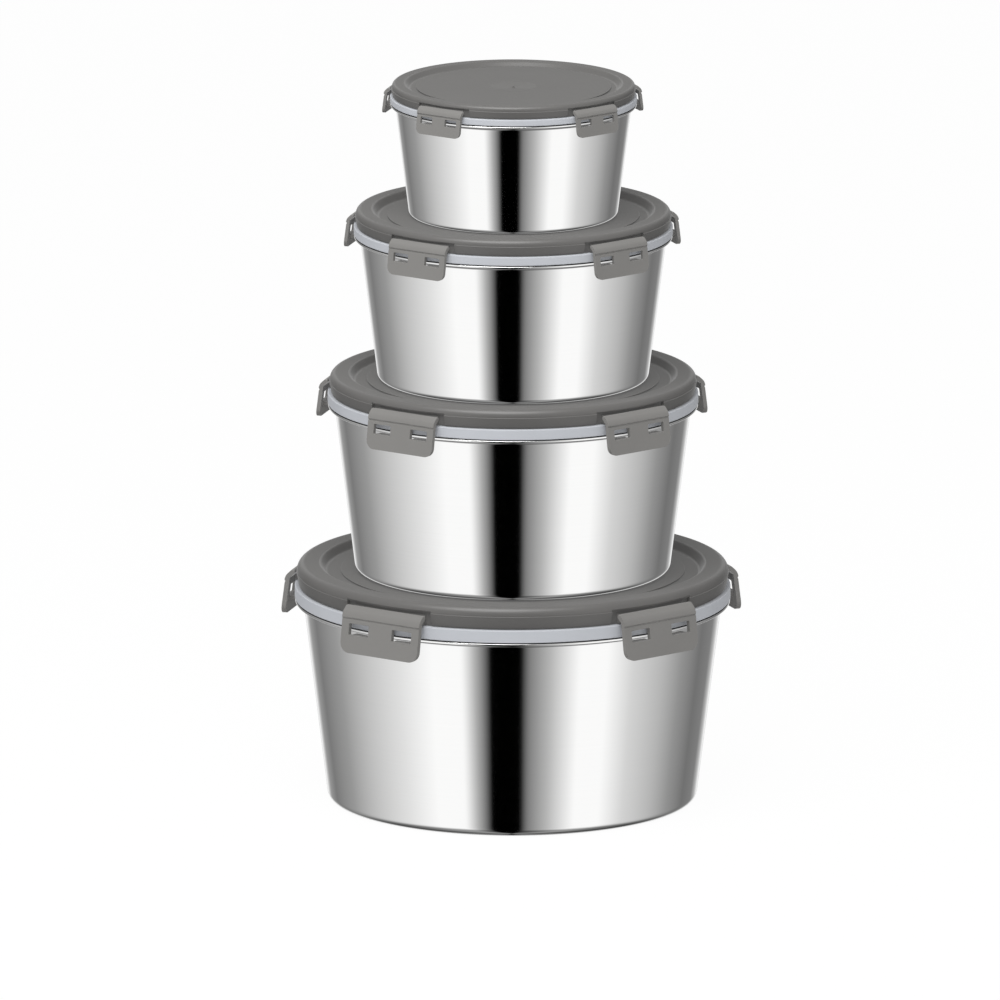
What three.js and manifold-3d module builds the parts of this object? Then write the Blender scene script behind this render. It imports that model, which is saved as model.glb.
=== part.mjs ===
// A set of four stainless food containers, stacked from the largest up.
// Each container is a pressed steel bowl with a rolled rim, a silicone seal, a moulded lid and
// five latches, which hinge on the lid and hook under the rim.
// Millimetres, +Z up. The origin is the middle of the lowest base, and the front is -Y.

import * as THREE from "three";
import { mergeVertices } from "three/addons/utils/BufferGeometryUtils.js";
import Module from "manifold-3d";

const wasm = await Module();
wasm.setup();

// The sizes that differ from one container to the next, from the bottom of the stack up.
// A mouth radius is the outside of the wall just under the rim, and a rise is measured up from the
// lower edge of the lid's skirt.

// The large container.
const LARGE_MOUTH_RADIUS = 100.7;
const LARGE_BOWL_HEIGHT = 98.5;
const LARGE_FOOT_FILLET = 4.2;
const LARGE_RIM_OVERHANG = 4.1;
const LARGE_RIM_THICKNESS = 1.8;
const LARGE_BAND_HEIGHT = 6;
const LARGE_SKIRT_INSET = 1.9;
const LARGE_SHOULDER_RISE = 10.6;
const LARGE_SHOULDER_FILLET = 4.1;
const LARGE_SHOULDER_WIDTH = 10.3;
const LARGE_GUTTER_WIDTH = 9.7;
const LARGE_PANEL_RISE = 7.4;
const LARGE_HINGE_RISE = 4.1;
const LARGE_HINGE_REACH = 0.8;
const LARGE_LATCH_WIDTH = 45.5;
const LARGE_FLAP_THICKNESS = 2.2;
const LARGE_KNEE_REACH = 3.6;
const LARGE_FLAP_CORNER = 5;
const LARGE_TAB_DROP = 8.4;
const LARGE_WINDOW_WIDTH = 11;
const LARGE_WINDOW_HEIGHT = 5.2;
const LARGE_WINDOW_MARGIN = 4.6;
const LARGE = {
  name: "large",
  sides: 30,
  bowl: {
    mouthRadius: LARGE_MOUTH_RADIUS,
    height: LARGE_BOWL_HEIGHT,
    footFillet: LARGE_FOOT_FILLET,
    rimOverhang: LARGE_RIM_OVERHANG,
    rimThickness: LARGE_RIM_THICKNESS,
  },
  seal: {
    bandHeight: LARGE_BAND_HEIGHT,
  },
  lid: {
    skirtInset: LARGE_SKIRT_INSET,
    shoulderRise: LARGE_SHOULDER_RISE,
    shoulderFillet: LARGE_SHOULDER_FILLET,
    shoulderWidth: LARGE_SHOULDER_WIDTH,
    gutterWidth: LARGE_GUTTER_WIDTH,
    panelRise: LARGE_PANEL_RISE,
  },
  hinge: {
    rise: LARGE_HINGE_RISE,
    reach: LARGE_HINGE_REACH,
  },
  latch: {
    width: LARGE_LATCH_WIDTH,
    thickness: LARGE_FLAP_THICKNESS,
    kneeReach: LARGE_KNEE_REACH,
    corner: LARGE_FLAP_CORNER,
    tabDrop: LARGE_TAB_DROP,
  },
  window: {
    width: LARGE_WINDOW_WIDTH,
    height: LARGE_WINDOW_HEIGHT,
    margin: LARGE_WINDOW_MARGIN,
  },
};

// The medium container.
const MEDIUM_MOUTH_RADIUS = 85.7;
const MEDIUM_BOWL_HEIGHT = 81.6;
const MEDIUM_FOOT_FILLET = 3.6;
const MEDIUM_RIM_OVERHANG = 3.3;
const MEDIUM_RIM_THICKNESS = 1.6;
const MEDIUM_BAND_HEIGHT = 5;
const MEDIUM_SKIRT_INSET = 1.6;
const MEDIUM_SHOULDER_RISE = 9;
const MEDIUM_SHOULDER_FILLET = 3.5;
const MEDIUM_SHOULDER_WIDTH = 8.7;
const MEDIUM_GUTTER_WIDTH = 8.3;
const MEDIUM_PANEL_RISE = 6.4;
const MEDIUM_HINGE_RISE = 3.45;
const MEDIUM_HINGE_REACH = 0.7;
const MEDIUM_LATCH_WIDTH = 38.6;
const MEDIUM_FLAP_THICKNESS = 1.9;
const MEDIUM_KNEE_REACH = 3.1;
const MEDIUM_FLAP_CORNER = 4.2;
const MEDIUM_TAB_DROP = 7.1;
const MEDIUM_WINDOW_WIDTH = 9.3;
const MEDIUM_WINDOW_HEIGHT = 4.4;
const MEDIUM_WINDOW_MARGIN = 3.9;
const MEDIUM = {
  name: "medium",
  sides: 25,
  bowl: {
    mouthRadius: MEDIUM_MOUTH_RADIUS,
    height: MEDIUM_BOWL_HEIGHT,
    footFillet: MEDIUM_FOOT_FILLET,
    rimOverhang: MEDIUM_RIM_OVERHANG,
    rimThickness: MEDIUM_RIM_THICKNESS,
  },
  seal: {
    bandHeight: MEDIUM_BAND_HEIGHT,
  },
  lid: {
    skirtInset: MEDIUM_SKIRT_INSET,
    shoulderRise: MEDIUM_SHOULDER_RISE,
    shoulderFillet: MEDIUM_SHOULDER_FILLET,
    shoulderWidth: MEDIUM_SHOULDER_WIDTH,
    gutterWidth: MEDIUM_GUTTER_WIDTH,
    panelRise: MEDIUM_PANEL_RISE,
  },
  hinge: {
    rise: MEDIUM_HINGE_RISE,
    reach: MEDIUM_HINGE_REACH,
  },
  latch: {
    width: MEDIUM_LATCH_WIDTH,
    thickness: MEDIUM_FLAP_THICKNESS,
    kneeReach: MEDIUM_KNEE_REACH,
    corner: MEDIUM_FLAP_CORNER,
    tabDrop: MEDIUM_TAB_DROP,
  },
  window: {
    width: MEDIUM_WINDOW_WIDTH,
    height: MEDIUM_WINDOW_HEIGHT,
    margin: MEDIUM_WINDOW_MARGIN,
  },
};

// The small container.
const SMALL_MOUTH_RADIUS = 73.6;
const SMALL_BOWL_HEIGHT = 70.2;
const SMALL_FOOT_FILLET = 3.1;
const SMALL_RIM_OVERHANG = 2.9;
const SMALL_RIM_THICKNESS = 1.5;
const SMALL_BAND_HEIGHT = 4.2;
const SMALL_SKIRT_INSET = 1.3;
const SMALL_SHOULDER_RISE = 7.8;
const SMALL_SHOULDER_FILLET = 3;
const SMALL_SHOULDER_WIDTH = 7.5;
const SMALL_GUTTER_WIDTH = 7.1;
const SMALL_PANEL_RISE = 5;
const SMALL_HINGE_RISE = 3.05;
const SMALL_HINGE_REACH = 0.6;
const SMALL_LATCH_WIDTH = 33.2;
const SMALL_FLAP_THICKNESS = 1.6;
const SMALL_KNEE_REACH = 2.6;
const SMALL_FLAP_CORNER = 3.6;
const SMALL_TAB_DROP = 6.1;
const SMALL_WINDOW_WIDTH = 8;
const SMALL_WINDOW_HEIGHT = 3.8;
const SMALL_WINDOW_MARGIN = 3.4;
const SMALL = {
  name: "small",
  sides: 25,
  bowl: {
    mouthRadius: SMALL_MOUTH_RADIUS,
    height: SMALL_BOWL_HEIGHT,
    footFillet: SMALL_FOOT_FILLET,
    rimOverhang: SMALL_RIM_OVERHANG,
    rimThickness: SMALL_RIM_THICKNESS,
  },
  seal: {
    bandHeight: SMALL_BAND_HEIGHT,
  },
  lid: {
    skirtInset: SMALL_SKIRT_INSET,
    shoulderRise: SMALL_SHOULDER_RISE,
    shoulderFillet: SMALL_SHOULDER_FILLET,
    shoulderWidth: SMALL_SHOULDER_WIDTH,
    gutterWidth: SMALL_GUTTER_WIDTH,
    panelRise: SMALL_PANEL_RISE,
  },
  hinge: {
    rise: SMALL_HINGE_RISE,
    reach: SMALL_HINGE_REACH,
  },
  latch: {
    width: SMALL_LATCH_WIDTH,
    thickness: SMALL_FLAP_THICKNESS,
    kneeReach: SMALL_KNEE_REACH,
    corner: SMALL_FLAP_CORNER,
    tabDrop: SMALL_TAB_DROP,
  },
  window: {
    width: SMALL_WINDOW_WIDTH,
    height: SMALL_WINDOW_HEIGHT,
    margin: SMALL_WINDOW_MARGIN,
  },
};

// The mini container.
const MINI_MOUTH_RADIUS = 56.7;
const MINI_BOWL_HEIGHT = 54.4;
const MINI_FOOT_FILLET = 2.4;
const MINI_RIM_OVERHANG = 2.4;
const MINI_RIM_THICKNESS = 1.3;
const MINI_BAND_HEIGHT = 3.1;
const MINI_SKIRT_INSET = 1;
const MINI_SHOULDER_RISE = 6;
const MINI_SHOULDER_FILLET = 2.3;
const MINI_SHOULDER_WIDTH = 5.8;
const MINI_GUTTER_WIDTH = 5.5;
const MINI_PANEL_RISE = 4.4;
const MINI_HINGE_RISE = 2.3;
const MINI_HINGE_REACH = 0.45;
const MINI_LATCH_WIDTH = 25.6;
const MINI_FLAP_THICKNESS = 1.3;
const MINI_KNEE_REACH = 2.2;
const MINI_FLAP_CORNER = 2.8;
const MINI_TAB_DROP = 4.7;
const MINI_WINDOW_WIDTH = 6.2;
const MINI_WINDOW_HEIGHT = 3;
const MINI_WINDOW_MARGIN = 2.6;
const MINI = {
  name: "mini",
  sides: 20,
  bowl: {
    mouthRadius: MINI_MOUTH_RADIUS,
    height: MINI_BOWL_HEIGHT,
    footFillet: MINI_FOOT_FILLET,
    rimOverhang: MINI_RIM_OVERHANG,
    rimThickness: MINI_RIM_THICKNESS,
  },
  seal: {
    bandHeight: MINI_BAND_HEIGHT,
  },
  lid: {
    skirtInset: MINI_SKIRT_INSET,
    shoulderRise: MINI_SHOULDER_RISE,
    shoulderFillet: MINI_SHOULDER_FILLET,
    shoulderWidth: MINI_SHOULDER_WIDTH,
    gutterWidth: MINI_GUTTER_WIDTH,
    panelRise: MINI_PANEL_RISE,
  },
  hinge: {
    rise: MINI_HINGE_RISE,
    reach: MINI_HINGE_REACH,
  },
  latch: {
    width: MINI_LATCH_WIDTH,
    thickness: MINI_FLAP_THICKNESS,
    kneeReach: MINI_KNEE_REACH,
    corner: MINI_FLAP_CORNER,
    tabDrop: MINI_TAB_DROP,
  },
  window: {
    width: MINI_WINDOW_WIDTH,
    height: MINI_WINDOW_HEIGHT,
    margin: MINI_WINDOW_MARGIN,
  },
};

const CONTAINERS = [LARGE, MEDIUM, SMALL, MINI];

// The sizes that all four share. RIM_ROUNDING is the part of the rim's thickness that rounds its edge.
const STEEL = 0.6;
const RIM_ROUNDING = 0.45;
const WALL_TAPER = THREE.MathUtils.degToRad(7.1);
const NECK_FILLET = 1.4;
const MOUTH_FILLET = 1;
const LID_WALL = 1.6;
const GUTTER_DEPTH = 0.8;
const STEP_RUN = 2.6;
const STEP_FILLET = 1.2;
const PLUG_DEPTH = 3.2;
const LIP_DEPTH = 2.6;
const LIP_THICKNESS = 1.6;
const TONGUE_HEIGHT = 2.5;
const BAND_PROUD = 0.2;
const BAND_ROUND = 0.7;
const LUG_INSET = 1.5;
const POCKET_DEPTH = 0.8;
const POCKET_SIDE = 2;
const KNUCKLE_SLOPE = THREE.MathUtils.degToRad(45);
const FLAP_FLARE = THREE.MathUtils.degToRad(7.5);
const HOOK_GRIP = 1.2;
const HOOK_ROOT = 2.2;
const HOOK_TIP = 0.9;
const SILL = 1.5;
const FRONT_TURN = THREE.MathUtils.degToRad(38.5);
const SIDE_TURN = THREE.MathUtils.degToRad(108);
const LATCH_TURNS = [FRONT_TURN, SIDE_TURN, Math.PI, -SIDE_TURN, -FRONT_TURN];

// SEAT_GAP parts pieces that touch. ARC_STEP is the turn of one facet in a fillet.
const SEAT_GAP = 0.3;
const ARC_STEP = THREE.MathUtils.degToRad(40);
const SEAT_SIDES = 12;

// Colour, roughness and metalness of each finish.
const FINISHES = {
  steel: { color: 0xcfcfcd, roughness: 0.12, metalness: 1 },
  lidPlastic: { color: 0x6b6a67, roughness: 0.45, metalness: 0 },
  latchPlastic: { color: 0x84817c, roughness: 0.5, metalness: 0 },
  silicone: { color: 0xd6d9e4, roughness: 0.6, metalness: 0 },
};

// A corner of an outline: its place across and up, and the fillet that rounds it.
function corner(across, up, fillet = 0) {
  return { at: new THREE.Vector2(across, up), fillet };
}

// The points that round one corner with an arc tangent to both of its sides.
function roundedCorner(before, { at, fillet }, after) {
  if (!fillet) return [at];
  const into = at.clone().sub(before).normalize();
  const away = after.clone().sub(at).normalize();
  const turn = Math.atan2(into.cross(away), into.dot(away));
  const start = at.clone().addScaledVector(into, -fillet * Math.tan(Math.abs(turn) / 2));
  const toCentre = new THREE.Vector2(-into.y, into.x).multiplyScalar(Math.sign(turn) * fillet);
  const centre = start.clone().add(toCentre);
  const steps = Math.max(1, Math.round(Math.abs(turn) / ARC_STEP));
  return Array.from({ length: steps + 1 }, (_, k) =>
    start.clone().rotateAround(centre, (turn * k) / steps),
  );
}

// The points of a closed outline, with each of its corners rounded.
function outline(corners) {
  const count = corners.length;
  return corners.flatMap((each, i) => {
    const before = corners[(i + count - 1) % count].at;
    const after = corners[(i + 1) % count].at;
    return roundedCorner(before, each, after);
  });
}

// An outline turned about the Z axis. Its corners run up the outside and down the inside.
// An outline that leaves the axis and comes back to it closes there, and any other is a ring.
function turned(corners, sides) {
  const points = outline(corners);
  const ring = points[0].x > 0;
  if (ring) points.push(points[0]);
  return new THREE.LatheGeometry(points, sides).rotateX(Math.PI / 2);
}

// A closed geometry as a solid that can be joined and cut.
function solidOf(geometry) {
  const bare = geometry.clone();
  bare.deleteAttribute("normal");
  bare.deleteAttribute("uv");
  const merged = mergeVertices(bare);
  const mesh = new wasm.Mesh({
    numProp: 3,
    vertProperties: merged.attributes.position.array,
    triVerts: new Uint32Array(merged.index.array),
  });
  return new wasm.Manifold(mesh);
}

// A joined or cut solid as a geometry again.
function geometryOf(solid) {
  const { vertProperties, triVerts } = solid.getMesh();
  const geometry = new THREE.BufferGeometry();
  geometry.setAttribute("position", new THREE.BufferAttribute(vertProperties, 3));
  geometry.setIndex(new THREE.BufferAttribute(triVerts, 1));
  geometry.computeVertexNormals();
  return geometry;
}

// A block given by its span along X, outwards from the axis towards the front, and up.
function block([left, right], [inner, outer], [low, high]) {
  const geometry = new THREE.BoxGeometry(right - left, outer - inner, high - low);
  return geometry.translate((left + right) / 2, -(inner + outer) / 2, (low + high) / 2);
}

// A bar along X at a hinge's axis.
function bar(radius, length, sides) {
  return new THREE.CylinderGeometry(radius, radius, length, sides).rotateZ(Math.PI / 2);
}

// The heights and radii that one container's pieces share, measured from the middle of its base.
function fitsOf({ bowl, seal, lid, hinge, latch }) {
  const rimUnder = bowl.height - bowl.rimThickness;
  const rimRadius = bowl.mouthRadius + bowl.rimOverhang;
  const wallRadius = (height) => bowl.mouthRadius - (rimUnder - height) * Math.tan(WALL_TAPER);
  const wallAcross = STEEL / Math.cos(WALL_TAPER);
  const innerRadius = (height) => wallRadius(height) - wallAcross;
  const lipBottom = bowl.height - LIP_DEPTH;
  const lipRadius = innerRadius(lipBottom) - SEAT_GAP;
  const plugRadius = lipRadius - LIP_THICKNESS - SEAT_GAP;
  const bandBottom = bowl.height + SEAT_GAP;
  const bandTop = bandBottom + seal.bandHeight;
  const skirtEdge = bandTop + SEAT_GAP;
  const skirtRadius = rimRadius - lid.skirtInset;
  const hingeRadius = skirtRadius + hinge.reach;
  const hingeHeight = skirtEdge + hinge.rise;
  const hookTop = rimUnder - SEAT_GAP;
  const barrelRadius = latch.thickness / 2;
  const kneeRise = barrelRadius / Math.cos(KNUCKLE_SLOPE) - latch.kneeReach * Math.tan(KNUCKLE_SLOPE);
  const flapReach = (rise) => latch.kneeReach + (kneeRise - rise) * Math.tan(FLAP_FLARE);
  return {
    rimUnder,
    rimRadius,
    wallRadius,
    innerRadius,
    lipBottom,
    lipRadius,
    plugRadius,
    plugBottom: bowl.height - PLUG_DEPTH,
    bandBottom,
    bandTop,
    skirtEdge,
    skirtRadius,
    skirtInside: skirtRadius - LID_WALL,
    shoulderTop: skirtEdge + lid.shoulderRise,
    panelTop: skirtEdge + lid.panelRise,
    hingeRadius,
    hingeHeight,
    hookTop,
    barrelRadius,
    kneeRise,
    flapReach,
    flapAcross: latch.thickness / Math.cos(FLAP_FLARE),
    flapBottom: hookTop - latch.tabDrop,
  };
}

// The bowl: flat base, tapered wall, and a rim turned outwards and rolled to a round edge.
function bowlGeometry({ sides, bowl }, fits) {
  const roll = RIM_ROUNDING * bowl.rimThickness;
  return turned(
    [
      corner(0, 0),
      corner(fits.wallRadius(0), 0, bowl.footFillet),
      corner(bowl.mouthRadius, fits.rimUnder, NECK_FILLET),
      corner(fits.rimRadius, fits.rimUnder, roll),
      corner(fits.rimRadius, bowl.height, roll),
      corner(fits.innerRadius(bowl.height), bowl.height, MOUTH_FILLET),
      corner(fits.innerRadius(STEEL), STEEL, bowl.footFillet - STEEL),
      corner(0, STEEL),
    ],
    sides,
  );
}

// The seal: a band on the rim, a tongue up between the lid's plug and skirt, and a lip in the bowl.
function sealGeometry({ sides }, fits) {
  const inside = fits.plugRadius + SEAT_GAP;
  const tongueOutside = fits.skirtInside - SEAT_GAP;
  const tongueTop = fits.skirtEdge + TONGUE_HEIGHT;
  const bandRadius = fits.rimRadius + BAND_PROUD;
  return turned(
    [
      corner(inside, fits.lipBottom),
      corner(fits.lipRadius, fits.lipBottom),
      corner(fits.lipRadius, fits.bandBottom),
      corner(bandRadius, fits.bandBottom, BAND_ROUND),
      corner(bandRadius, fits.bandTop, BAND_ROUND),
      corner(tongueOutside, fits.bandTop),
      corner(tongueOutside, tongueTop),
      corner(inside, tongueTop),
    ],
    sides,
  );
}

// The lid without its hinges: panel, gutter, raised shoulder and skirt outside, plug wall inside.
function lidShell({ sides, lid }, fits) {
  const panelUnder = fits.panelTop - LID_WALL;
  const shoulderUnder = fits.shoulderTop - LID_WALL;
  const plugInside = fits.plugRadius - LID_WALL;
  const stepRadius = fits.skirtRadius - lid.shoulderWidth;
  const panelRadius = stepRadius - lid.gutterWidth;
  const gutter = fits.panelTop - GUTTER_DEPTH;
  return turned(
    [
      corner(0, panelUnder),
      corner(plugInside, panelUnder),
      corner(plugInside, fits.plugBottom),
      corner(fits.plugRadius, fits.plugBottom),
      corner(fits.plugRadius, shoulderUnder),
      corner(fits.skirtInside, shoulderUnder, lid.shoulderFillet - LID_WALL),
      corner(fits.skirtInside, fits.skirtEdge),
      corner(fits.skirtRadius, fits.skirtEdge),
      corner(fits.skirtRadius, fits.shoulderTop, lid.shoulderFillet),
      corner(stepRadius, fits.shoulderTop, STEP_FILLET),
      corner(stepRadius - STEP_RUN, gutter, STEP_FILLET),
      corner(panelRadius + GUTTER_DEPTH, gutter),
      corner(panelRadius, fits.panelTop),
      corner(0, fits.panelTop),
    ],
    sides,
  );
}

// The ledge that the lid's hinge lugs are cut from, all the way round. It slopes down from the
// foot of the shoulder as steeply as the latches do.
function lugRing({ sides, lid, latch }, fits) {
  const rootRadius = fits.skirtRadius - (POCKET_DEPTH + LID_WALL) / 2;
  const reach = Math.hypot(fits.hingeRadius, latch.width / 2);
  const slope = Math.tan(KNUCKLE_SLOPE);
  const shoulderFoot = fits.shoulderTop - lid.shoulderFillet;
  return turned(
    [
      corner(rootRadius, fits.skirtEdge),
      corner(reach, fits.skirtEdge),
      corner(reach, shoulderFoot - (reach - fits.skirtRadius) * slope),
      corner(rootRadius, shoulderFoot + (fits.skirtRadius - rootRadius) * slope),
    ],
    sides,
  );
}

// The ring of skirt surface that the pockets behind the latches are cut from.
function pocketRing({ sides, lid }, fits) {
  const floor = fits.skirtRadius - POCKET_DEPTH;
  const top = fits.shoulderTop - lid.shoulderFillet;
  const outside = fits.hingeRadius;
  const below = fits.bandTop;
  return turned(
    [corner(floor, below), corner(outside, below), corner(outside, top), corner(floor, top)],
    sides,
  );
}

// The lid with a pocket and a hinge lug at each latch. A lug ends in a hollow seat for the barrel.
function lidGeometry(size, fits) {
  const { latch } = size;
  const pockets = solidOf(pocketRing(size, fits));
  const ledge = solidOf(lugRing(size, fits));
  const pocketHalf = latch.width / 2 + POCKET_SIDE;
  const lugHalf = latch.width / 2 - LUG_INSET;
  const heights = [0, 2 * fits.shoulderTop];
  const pocketBlock = block([-pocketHalf, pocketHalf], [0, 2 * fits.hingeRadius], heights);
  const lugFace = fits.hingeRadius - fits.barrelRadius;
  const lugBlock = block([-lugHalf, lugHalf], [0, lugFace], heights);
  const seat = bar(fits.barrelRadius + SEAT_GAP, latch.width, SEAT_SIDES);
  seat.translate(0, -fits.hingeRadius, fits.hingeHeight);
  let lid = solidOf(lidShell(size, fits));
  for (const turn of LATCH_TURNS) {
    const at = (geometry) => solidOf(geometry.clone().rotateZ(turn));
    const lug = ledge.intersect(at(lugBlock)).subtract(at(seat));
    lid = lid.subtract(pockets.intersect(at(pocketBlock))).add(lug);
  }
  return geometryOf(lid);
}

// The side of a flap as drawn from its hinge axis: a strip whose round end turns on the axis, which
// slopes down and out to a knee and hangs from there.
function flapSide({ latch }, fits) {
  const sine = Math.sin(KNUCKLE_SLOPE);
  const cosine = Math.cos(KNUCKLE_SLOPE);
  const round = fits.barrelRadius;
  const kneeInside = fits.flapReach(0) - fits.flapAcross;
  const inset = round + sine * kneeInside;
  const insideRise = -inset / (cosine - sine * Math.tan(FLAP_FLARE));
  const below = fits.flapBottom - fits.hingeHeight - latch.thickness;
  return [
    corner(round * (-sine - cosine), round * (sine - cosine), round),
    corner(round * (sine - cosine), round * (cosine + sine), round),
    corner(latch.kneeReach, fits.kneeRise),
    corner(fits.flapReach(below), below),
    corner(fits.flapReach(below) - fits.flapAcross, below),
    corner(fits.flapReach(insideRise) - fits.flapAcross, insideRise),
  ];
}

// An outline seen along X, drawn out to a width and centred on the container's YZ plane.
function drawnOut(corners, width) {
  const shape = new THREE.Shape(outline(corners));
  const geometry = new THREE.ExtrudeGeometry(shape, { depth: width, bevelEnabled: false });
  geometry.translate(0, 0, -width / 2);
  return geometry.rotateX(Math.PI / 2).rotateZ(-Math.PI / 2);
}

// An outline seen from the front, drawn from the hinge axis, as a slab through the whole flap.
function slab(corners, reach) {
  const shape = new THREE.Shape(outline(corners));
  const geometry = new THREE.ExtrudeGeometry(shape, { depth: 2 * reach, bevelEnabled: false });
  geometry.translate(0, 0, -reach);
  return solidOf(geometry.rotateX(Math.PI / 2));
}

// The flap with its two windows, hanging from the hinge axis at the origin.
function flapPlate(size, fits) {
  const { latch, window } = size;
  const half = latch.width / 2;
  const top = latch.thickness;
  const bottom = fits.flapBottom - fits.hingeHeight;
  const sill = fits.hookTop + SILL - fits.hingeHeight;
  const head = sill + window.height;
  const through = fits.flapReach(bottom) + latch.thickness;
  const face = [
    corner(half, top),
    corner(-half, top),
    corner(-half, bottom, latch.corner),
    corner(half, bottom, latch.corner),
  ];
  const strip = drawnOut(flapSide(size, fits), latch.width + latch.thickness);
  let plate = solidOf(strip).intersect(slab(face, through));
  for (const x of windowMiddles(latch, window)) {
    const left = x - window.width / 2;
    const right = x + window.width / 2;
    const opening = [corner(left, sill), corner(right, sill), corner(right, head), corner(left, head)];
    plate = plate.subtract(slab(opening, through));
  }
  return plate;
}

// The middles of a flap's two windows along its width.
function windowMiddles(latch, window) {
  const offset = latch.width / 2 - window.margin - window.width / 2;
  return [-offset, offset];
}

// A hook about the container's axis: a wedge as wide as its window, whose top lies under the rim.
// It stands in the flap at the window's middle and points at the axis.
function hookGeometry({ window }, fits, middle, flapRadius) {
  const tip = fits.rimRadius - HOOK_GRIP;
  const root = Math.hypot(middle, flapRadius);
  const side = [
    corner(tip, fits.hookTop - HOOK_TIP),
    corner(root, fits.hookTop - HOOK_ROOT),
    corner(root, fits.hookTop),
    corner(tip, fits.hookTop),
  ];
  return drawnOut(side, window.width).rotateZ(Math.atan2(middle, flapRadius));
}

// A latch about its hinge axis: the flap and one hook under each window.
function latchGeometry(size, fits) {
  const { latch, window } = size;
  const flapMiddle = fits.flapReach(fits.hookTop - fits.hingeHeight) - fits.flapAcross / 2;
  const flapRadius = fits.hingeRadius + flapMiddle;
  let whole = flapPlate(size, fits);
  for (const middle of windowMiddles(latch, window)) {
    const hook = hookGeometry(size, fits, middle, flapRadius);
    whole = whole.add(solidOf(hook.translate(0, fits.hingeRadius, -fits.hingeHeight)));
  }
  return geometryOf(whole);
}

// One named piece with its own material.
function piece(name, geometry, finish) {
  const mesh = new THREE.Mesh(geometry, new THREE.MeshStandardMaterial(finish));
  mesh.name = name;
  return mesh;
}

// One whole container, standing on its base, with its latches closed.
function container(size, fits) {
  const group = new THREE.Group();
  group.add(piece(`${size.name}_bowl`, bowlGeometry(size, fits), FINISHES.steel));
  group.add(piece(`${size.name}_seal`, sealGeometry(size, fits), FINISHES.silicone));
  group.add(piece(`${size.name}_lid`, lidGeometry(size, fits), FINISHES.lidPlastic));
  const latch = latchGeometry(size, fits);
  LATCH_TURNS.forEach((turn, i) => {
    const station = new THREE.Group();
    station.rotation.z = turn;
    const flap = piece(`${size.name}_latch_${i + 1}`, latch, FINISHES.latchPlastic);
    flap.position.set(0, -fits.hingeRadius, fits.hingeHeight);
    station.add(flap);
    group.add(station);
  });
  return group;
}

// The stack: each container stands on the panel of the lid below.
const stack = new THREE.Group();
let base = 0;
for (const size of CONTAINERS) {
  const fits = fitsOf(size);
  const standing = container(size, fits);
  standing.position.z = base;
  stack.add(standing);
  base += fits.panelTop + SEAT_GAP;
}

export default stack;
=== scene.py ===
"""A stack of four stainless food containers with moulded lids and swinging latches.

Sizes are in millimetres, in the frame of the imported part, and become metres in the finished meshes.
"""

import logging
import math
from dataclasses import dataclass
from enum import Enum
from typing import Iterable, Sequence

import bmesh
import bpy
from bmesh.types import BMesh
from mathutils import Matrix, Vector


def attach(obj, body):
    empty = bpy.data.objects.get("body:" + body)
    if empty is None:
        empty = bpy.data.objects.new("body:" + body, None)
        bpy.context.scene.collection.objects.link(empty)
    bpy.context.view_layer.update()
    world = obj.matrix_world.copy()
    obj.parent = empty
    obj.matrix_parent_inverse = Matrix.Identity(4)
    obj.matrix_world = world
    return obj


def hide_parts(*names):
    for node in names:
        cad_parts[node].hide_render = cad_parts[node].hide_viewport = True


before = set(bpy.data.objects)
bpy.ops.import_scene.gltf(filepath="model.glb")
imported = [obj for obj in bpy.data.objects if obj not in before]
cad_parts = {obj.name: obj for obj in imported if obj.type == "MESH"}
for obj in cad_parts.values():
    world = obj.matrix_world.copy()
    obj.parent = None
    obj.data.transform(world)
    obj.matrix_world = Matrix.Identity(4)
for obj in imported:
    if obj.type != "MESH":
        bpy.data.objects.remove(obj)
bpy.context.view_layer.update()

LOG = logging.getLogger("containers")

MM = 0.001
WHITE = (1.0, 1.0, 1.0, 1.0)

# How finely round shapes are cut: the steps of a full turn, the turn of one step in a fillet, and
# the fewest steps of a fillet.
TURN_STEPS = 160
BARREL_STEPS = 40
FILLET_STEP = math.radians(11)
FILLET_LEAST = 3

# How meshes are cleaned: the distance of a supporting point from an edge's end, the distance within
# which points are one, and the angles past which an edge is hard and below which it is flat.
SUPPORT = 0.5
MERGE = 1e-3
SHARP_ANGLE = math.radians(32)
FLAT_ANGLE = math.radians(0.4)

# Sizes that all four containers share.
STEEL = 0.6
RIM_ROUNDING = 0.47
WALL_TAPER = math.radians(7.1)
NECK_FILLET = 1.4
MOUTH_FILLET = 1.0
LID_WALL = 1.6
GUTTER_DEPTH = 0.8
STEP_RUN = 2.6
STEP_FILLET = 1.6
PLUG_DEPTH = 3.2
LIP_DEPTH = 2.6
LIP_THICKNESS = 1.6
TONGUE_HEIGHT = 2.5
BAND_PROUD = 0.2
BAND_ROUND = 0.4
LUG_INSET = 1.5
POCKET_DEPTH = 0.8
POCKET_SIDE = 2.0
KNUCKLE_SLOPE = math.radians(45)
FLAP_FLARE = math.radians(7.5)
HOOK_GRIP = 1.2
HOOK_ROOT = 2.2
HOOK_TIP = 0.9
HOOK_ROUND = HOOK_TIP / 4
SILL = 0.1
SEAT_GAP = 0.3

# The curve between a tone on a screen and the light that it stands for.
TOE_END = 0.04045
TOE_SLOPE = 12.92
CURVE_OFFSET = 0.055
CURVE_POWER = 2.4

# The turns of the latches from the front, where two stand evenly to each side.
LATCH_TURNS = tuple(math.radians(turn) for turn in (38.5, 108, 180, -108, -38.5))


class Slot(Enum):
    """The record's material slots."""

    STEEL = "steel"
    LID = "lid_plastic"
    LATCH = "latch_plastic"
    SEAL = "seal_silicone"


class Join(Enum):
    """The ways of joining one closed shape with another."""

    ADD = "UNION"
    CUT = "DIFFERENCE"
    CROSS = "INTERSECT"


@dataclass(frozen=True)
class Corner:
    """A corner of a section: its place across and up, and the fillet that rounds it."""

    across: float
    up: float
    fillet: float = 0.0


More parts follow.
